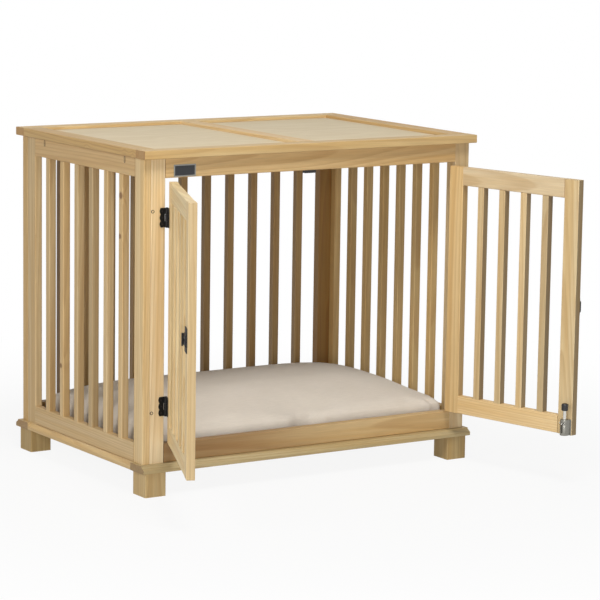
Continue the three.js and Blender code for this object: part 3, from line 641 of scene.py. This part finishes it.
# ---- other fittings ---------------------------------------------------------------------------
def blank_badge():
    """A plain metal plate on the apron: a nickel rim round an empty black field."""
    plate = cuboid("blank_badge", (0.048, 0.0012, 0.023), at(87.8, -0.6, 618.9))
    wear(plate, badge_rim)
    plate.data.materials.append(badge_field)
    pick(plate, lambda face: True)
    bpy.ops.mesh.bevel(offset=0.00045, segments=2)
    pick(plate, lambda face: face.normal.y < -0.99)
    bpy.ops.mesh.inset(thickness=0.0017)
    bpy.ops.mesh.inset(thickness=0.0004)
    bpy.ops.transform.translate(value=(0, 0.0005, 0))
    plate.active_material_index = 1
    bpy.ops.object.material_slot_assign()
    settle(plate)
    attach(plate, "carcass")


def slot_shade_fill(name, x, y, out):
    """A black plastic insert level with the wood at the top of a side rail: painted shade standing in
    for the dark inside of a slot.
    """
    dark_fill = cuboid(name, (0.0012, 0.0046, 0.012), at(x, y, 636))
    pick_edges(dark_fill, lambda end, other: abs(end.x - other.x) > 0.0005)
    bpy.ops.mesh.bevel(offset=0.0021, segments=5)
    pick(dark_fill, lambda face: face.normal.x * out > 0.9)
    bpy.ops.mesh.inset(thickness=0.0006)
    bpy.ops.mesh.extrude_region_move(TRANSFORM_OT_translate={"value": (-out * 0.0006, 0, 0)})
    wear(dark_fill, knob_abs)
    settle(dark_fill)
    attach(dark_fill, "carcass")


def hinge_roll(side, level, mid):
    """The outer wrap of a hinge's middle knuckle, which closes the gap to the other leaf's notch."""
    height = (HINGE_H / 3 - 0.5) / 1000
    place = DOOR_PIN[side] + Vector((0, 0, mid / 1000))
    roll = cylinder(f"{side}_{level}_hinge_roll", 28, 0.00352, height, place)
    pick(roll, lambda face: abs(face.normal.z) > 0.9)
    bpy.ops.mesh.inset(thickness=0.0004)
    bpy.ops.transform.resize(value=(1, 1, 0.96))
    wear(roll, black_steel)
    settle(roll)
    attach(roll, f"{side}_door")


blank_badge()
# Black inserts where the side rails have slots, as painted shade of the slots' insides.
for side, x, out in (("left", 0.05, -1), ("right", BODY_W - 0.05, 1)):
    for end, y in (("front", 73.8), ("rear", 398.8)):
        slot_shade_fill(f"{side}_{end}_slot_liner", x, y, out)
for side in ("left", "right"):
    for level, mid in HINGE_MIDS.items():
        hinge_roll(side, level, mid)


# ---- floor bolt -------------------------------------------------------------------------------
# Along the right door and through it: 10.5 from its free edge and 9.5 from its inner face.
BOLT_AXIS = (DOOR_GAP + DOOR_W - 10.5, PIN_OUT + SIDE_T + 9.5)
HOUSING_FOOT, HOUSING_H, BARREL_R = 103, 31, 8.3
HOUSING_BACK, FLANGE_FACE, FLANGE_HALF = -9.1, -6.6, 9.8
PIN_DOWN, TRAVEL = 8, 16  # the cross pin below the housing's top, and how far it drops
SLOT_HALF, SLOT_PLAY, NOTCH_H, NOTCH_END = 2.1, 2.2, 4.4, 6.2
BEYOND_FRONT, BEYOND_SIDE = 12, -13  # cuts run out through the wall


def block(low, high):
    """A box from its low to its high corner, in millimetres."""
    bpy.ops.mesh.primitive_cube_add(size=1)
    made = bpy.context.object
    size = [(b - a) / 1000 for a, b in zip(low, high)]
    middle = [(a + b) / 2000 for a, b in zip(low, high)]
    made.data.transform(Matrix.Translation(middle) @ Matrix.Diagonal((*size, 1)))
    return made


def to_floor_bolt(piece):
    """Moves a form made about the bolt's axis, with +y out of the door, to its place."""
    turn = Matrix.Rotation(DOOR_TURN["right"], 4, "Z") @ Matrix.Diagonal((1, THROUGH["right"], 1, 1))
    piece.data.transform(Matrix.Translation(on_door("right", *BOLT_AXIS, 0)) @ turn)
    piece.data.flip_normals()


def bolt_housing():
    """The floor bolt's zinc housing: a barrel on a flanged saddle, with the pin's slot in front."""
    foot, head = HOUSING_FOOT, HOUSING_FOOT + HOUSING_H
    top, low = head - PIN_DOWN + SLOT_PLAY, head - PIN_DOWN - TRAVEL - SLOT_PLAY
    middle = (0, 0, (foot + head) / 2000)
    barrel = cylinder("floor_bolt_barrel", 40, BARREL_R / 1000, HOUSING_H / 1000, middle)
    bpy.ops.object.transform_apply(location=True, rotation=True, scale=True)
    for low_corner, high_corner in (
        ((-BARREL_R, HOUSING_BACK, foot), (BARREL_R, 0, head)),
        ((-FLANGE_HALF, HOUSING_BACK, foot), (FLANGE_HALF, FLANGE_FACE, head)),
    ):
        combine(barrel, block(low_corner, high_corner), "UNION")
    combine(barrel, cylinder("bore", 28, 0.0041, 0.08, (0, 0, foot / 1000)), "DIFFERENCE")
    for low_corner, high_corner in (
        ((-SLOT_HALF, 0, low), (SLOT_HALF, BEYOND_FRONT, top)),
        ((BEYOND_SIDE, -SLOT_HALF, low), (0, SLOT_HALF, top)),
        ((-SLOT_HALF, 0, top - NOTCH_H), (NOTCH_END, BEYOND_FRONT, top)),
    ):
        combine(barrel, block(low_corner, high_corner), "DIFFERENCE")
    edges = barrel.modifiers.new("broken_edges", "BEVEL")
    edges.width = 0.0004
    edges.segments = 2
    edges.limit_method = "ANGLE"
    alone(barrel)
    bpy.ops.object.modifier_apply(modifier="broken_edges")
    to_floor_bolt(barrel)
    wear(barrel, cast_zinc)
    settle(barrel)
    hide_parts("floor_bolt_housing")
    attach(barrel, "right_door")


def bolt_pin():
    """The chromed cross pin, seen in the housing's front slot, which moves with the rod."""
    pin = cylinder("floor_bolt_front_pin", 20, 0.0017, 0.0085)
    pick(pin, lambda face: face.normal.z > 0.9)
    bpy.ops.mesh.bevel(offset=0.0005, segments=3)
    alone(pin)
    middle = (0, 0.0052, (HOUSING_FOOT + HOUSING_H - PIN_DOWN) / 1000)
    pin.data.transform(Matrix.Translation(middle) @ Matrix.Rotation(-math.pi / 2, 4, "X"))
    to_floor_bolt(pin)
    wear(pin, chrome)
    settle(pin)
    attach(pin, "floor_bolt")


bolt_housing()
bolt_pin()


# ---- cushion ----------------------------------------------------------------------------------
FLOOR_TOP = 0.0671
HELD_DOWN = 0.006  # height above the floor board in which the case stays put
SWELL_CAP = 0.006
STEPS = 20
FILLING = {
    "quality": 6,
    "mass": 0.3,
    "tension_stiffness": 12,
    "compression_stiffness": 12,
    "shear_stiffness": 6,
    "bending_stiffness": 0.4,
    "use_pressure": True,
    "uniform_pressure_force": 4,
    "shrink_min": -0.015,
}
ROOM = ((16.8, 21, 67.2), (731, 473.6, 170))  # what the cover stays inside
COVER_MID = (374, 247)
ARC_MIDS = ((58, 690), (63, 432))  # x and y of the middles of its corners' arcs
SQUARENESS = 5
CASE = ((18, 730), (23, 472))  # outer edges, in x and in y
SEAM_Z, SEAM_HALF, SEAM_DEEP = 0.1125, 0.0022, 0.0016
SEAM_REACH = 24
PUCKERS = ((404, 31, 113, 17, 10.0), (392, 54, 129, 8, 2.5))  # place, spread and depth


def swell(cover, cap):
    """Blows the cover up like a filled case, as far as cap, with its underside held down."""
    start = [v.co.copy() for v in cover.data.vertices]
    held = cover.vertex_groups.new(name="on_the_floor")
    held.add([i for i, co in enumerate(start) if co.z < FLOOR_TOP + HELD_DOWN], 1.0, "REPLACE")
    cloth = cover.modifiers.new("filling", "CLOTH")
    for key, value in FILLING.items():
        setattr(cloth.settings, key, value)
    cloth.settings.effector_weights.gravity = 0
    cloth.settings.vertex_group_mass = "on_the_floor"
    for number in range(1, STEPS + 1):
        bpy.context.scene.frame_set(number)
    shown = cover.evaluated_get(bpy.context.evaluated_depsgraph_get())
    moved = [v.co.copy() for v in shown.data.vertices]
    cover.modifiers.remove(cloth)
    bpy.context.scene.frame_set(1)
    for vertex, before, after in zip(cover.data.vertices, start, moved):
        step = after - before
        if step.length > cap:
            step = step.normalized() * cap
        vertex.co = before + step
    cover.vertex_groups.clear()


def square_corner(co):
    """Fills out a corner of the cover, from an arc of 40 mm to one that is nearly square."""
    x, y = crate_xy(co)
    (mid_x, mid_y), (arc_xs, arc_ys) = COVER_MID, ARC_MIDS
    dx = x - arc_xs[x >= mid_x]
    dy = y - arc_ys[y >= mid_y]
    if (dx < 0) != (x < mid_x) or (dy < 0) != (y < mid_y):
        return
    reach = math.hypot(dx, dy)
    if reach < 1:
        return
    flatness = (abs(dx) / reach) ** SQUARENESS + (abs(dy) / reach) ** SQUARENESS
    fuller = flatness ** (-1 / SQUARENESS)
    co.x += dx * (fuller - 1) / 1000
    co.y += dy * (fuller - 1) / 1000


def crease(co):
    """Pulls in the top seam, and puckers the cloth at the front edge."""
    x, y = crate_xy(co)
    (left, right), (front, back) = CASE
    edge = min(x - left, right - x, y - front, back - y)
    if edge < SEAM_REACH:
        pull = math.exp(-(((co.z - SEAM_Z) / SEAM_HALF) ** 2))
        co.z -= SEAM_DEEP * pull * (1 - max(edge, 0) / SEAM_REACH)
    for px, py, pz, width, deep in PUCKERS:
        dx, dy, dz = x - px, y - py, co.z * 1000 - pz
        reach = math.sqrt(dx * dx + dy * dy + dz * dz)
        if reach < 3 * width:
            fold = math.cos(5 * math.atan2(dz + 0.8 * dy, dx) + 0.6) ** 3
            near = math.exp(-((reach / width) ** 2))
            co.y += deep / 1000 * 0.7 * near
            co.z -= deep / 1000 * (0.5 + 0.8 * fold) * near


def cotton(name, tone):
    """Undyed cotton canvas: plain weave of 0.6 mm threads, drawn at 2.6 mm so that it shows."""
    sockets = {"Roughness": 0.92, "Sheen_Weight": 0.25, "Sheen_Roughness": 0.5}
    finish, tree, shader = bare_finish(name, **sockets)
    base = colour(tone)
    spot = add(tree, "TexCoord", {})["Object"]
    parts = add(tree, "SeparateXYZ", {0: spot})
    thread = 2 * math.pi / 0.0026
    down = calc(tree, "ADD", parts["Y"], parts["Z"])
    warp = calc(tree, "SINE", calc(tree, "MULTIPLY", parts["X"], thread))
    weft = calc(tree, "SINE", calc(tree, "MULTIPLY", down, thread))
    weave = calc(tree, "MULTIPLY", warp, weft)
    cloud = noise(tree, spot, detail=3.0, scale=14.0)["Fac"]
    slub = noise(tree, mapped(tree, spot, Scale=(60, 700, 400)))["Fac"]
    mottled = blend(tree, cloud, tinted(base, 0.93, 0.92, 0.9), tinted(base, 1.05, 1.05, 1.06))
    woven = spread(tree, weave, 0.96, 1.03, (-1.0, 1.0))
    slubbed = spread(tree, slub, 0.96, 1.03, (0.3, 0.7))
    light = calc(tree, "MULTIPLY", woven, slubbed)
    tree.links.new(scaled(tree, mottled, light), shader.inputs["Base Color"])
    emboss(tree, shader, weave, 0.35, 0.0004)
    return finish


def cushion_cover():
    """The case and its filling as one crowned form, blown up by cloth simulation."""
    cover = bpy.data.objects.new("cushion_cover", nodes["cushion"].data.copy())
    bpy.context.scene.collection.objects.link(cover)
    alone(cover)
    bpy.ops.object.mode_set(mode="EDIT")
    bpy.ops.mesh.select_all(action="SELECT")
    bpy.ops.mesh.remove_doubles(threshold=0.00001)
    bpy.ops.transform.shrink_fatten(value=-0.0035)
    bpy.ops.object.mode_set(mode="OBJECT")
    cover.data.remesh_voxel_size = 0.006
    bpy.ops.object.voxel_remesh()
    swell(cover, SWELL_CAP)
    finer = cover.modifiers.new("finer", "SUBSURF")
    finer.levels = finer.render_levels = 1
    bpy.ops.object.modifier_apply(modifier="finer")
    low, high = (at(*point) for point in ROOM)
    for vertex in cover.data.vertices:
        square_corner(vertex.co)
        crease(vertex.co)
        vertex.co = Vector([min(max(v, a), b) for v, a, b in zip(vertex.co, low, high)])
    bpy.ops.object.shade_smooth()
    cover.data.materials.clear()
    wear(cover, cotton("cotton_canvas", "#DED5C8"))
    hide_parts("cushion")
    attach(cover, "carcass")


cushion_cover()

# ---- studio -----------------------------------------------------------------------------------
AMBIENT = 0.09
SOFTBOXES = {  # place, what it looks at, width, watts
    "high_softbox": ((-0.6, -1.7, 3.4), (0, -0.1, 0.35), 1.2, 74),
    "front_softbox": ((-2.2, -3.6, 0.9), (0, 0, 0.35), 1.2, 60),
    "left_softbox": ((-2.9, -0.5, 1.8), (0, 0, 0.35), 1.3, 29),
}


def seen(tree):
    """1 for what the camera sees, straight, reflected or through glass, and 0 for other light."""
    ray = add(tree, "LightPath", {})
    straight = calc(tree, "MAXIMUM", ray["Is Camera Ray"], ray["Is Glossy Ray"])
    return calc(tree, "MAXIMUM", straight, ray["Is Transmission Ray"])


def floor_finish():
    """A white sheet: it keeps the object's soft shadow and fades to pure white at its rim."""
    finish, tree, shader = bare_finish("white_floor_sheet", Roughness=0.9, Base_Color=colour("#D8D8D6"))
    away = measure(tree, "LENGTH", add(tree, "TexCoord", {})["Object"])
    rim = spread(tree, away, 0.9, 1.0, (0.5, 1.6), "SMOOTHSTEP")
    share = calc(tree, "MULTIPLY", seen(tree), rim)
    white = add(tree, "Emission", {"Color": (1, 1, 1, 1), "Strength": 1.0})[0]
    mixed = add(tree, "MixShader", {0: share, 1: shader.outputs[0], 2: white})[0]
    tree.links.new(mixed, tree.nodes["Material Output"].inputs["Surface"])
    return finish


def studio_floor():
    """A round sheet under the feet."""
    alone()
    bpy.ops.mesh.primitive_circle_add(vertices=96, radius=6.0, fill_type="NGON", location=(0, 0, 0))
    floor = bpy.context.object
    floor.name = "studio_floor"
    wear(floor, floor_finish())


def softbox(name, place, aim, size, watts):
    """A square softbox at place that looks at aim."""
    lamp = bpy.data.lights.new(name, "AREA")
    lamp.shape = "SQUARE"
    lamp.size = size
    lamp.energy = watts
    holder = bpy.data.objects.new(name, lamp)
    bpy.context.scene.collection.objects.link(holder)
    holder.location = place
    holder.rotation_euler = (Vector(aim) - Vector(place)).to_track_quat("-Z", "Y").to_euler()


def white_surround():
    """Soft light from all round, seen as pure white."""
    world = bpy.data.worlds.new("white_surround")
    bpy.context.scene.world = world
    world.use_nodes = True
    tree = world.node_tree
    glow = tree.nodes["Background"]
    glow.inputs["Color"].default_value = (1, 1, 1, 1)
    tree.links.new(spread(tree, seen(tree), AMBIENT, 1.0), glow.inputs["Strength"])


studio_floor()
white_surround()
for name, settings in SOFTBOXES.items():
    softbox(name, *settings)

# ---- camera, as fitted to the photograph ------------------------------------------------------
AZIMUTH, FALL, ROLL = (math.radians(value) for value in (32.82, 9.04, 0.86))
EYE = (-2522.5, -4453.3, 1196.0)
SENSOR, FOCAL = 36, 165.6
ahead = Vector((math.sin(AZIMUTH), math.cos(AZIMUTH), 0))
level = Vector((math.cos(AZIMUTH), -math.sin(AZIMUTH), 0))
forward = ahead * math.cos(FALL) - Vector((0, 0, math.sin(FALL)))
upward = level.cross(forward)
right = level * math.cos(ROLL) + upward * math.sin(ROLL)
up = upward * math.cos(ROLL) - level * math.sin(ROLL)
lens = bpy.data.cameras.new("camera")
lens.sensor_width = SENSOR
lens.lens = FOCAL
camera = bpy.data.objects.new("camera", lens)
bpy.context.scene.collection.objects.link(camera)
turn = Matrix((right, up, -forward)).transposed().to_4x4()
camera.matrix_world = Matrix.Translation(at(*EYE)) @ turn
bpy.context.scene.camera = camera
bpy.context.scene.view_settings.view_transform = "Standard"
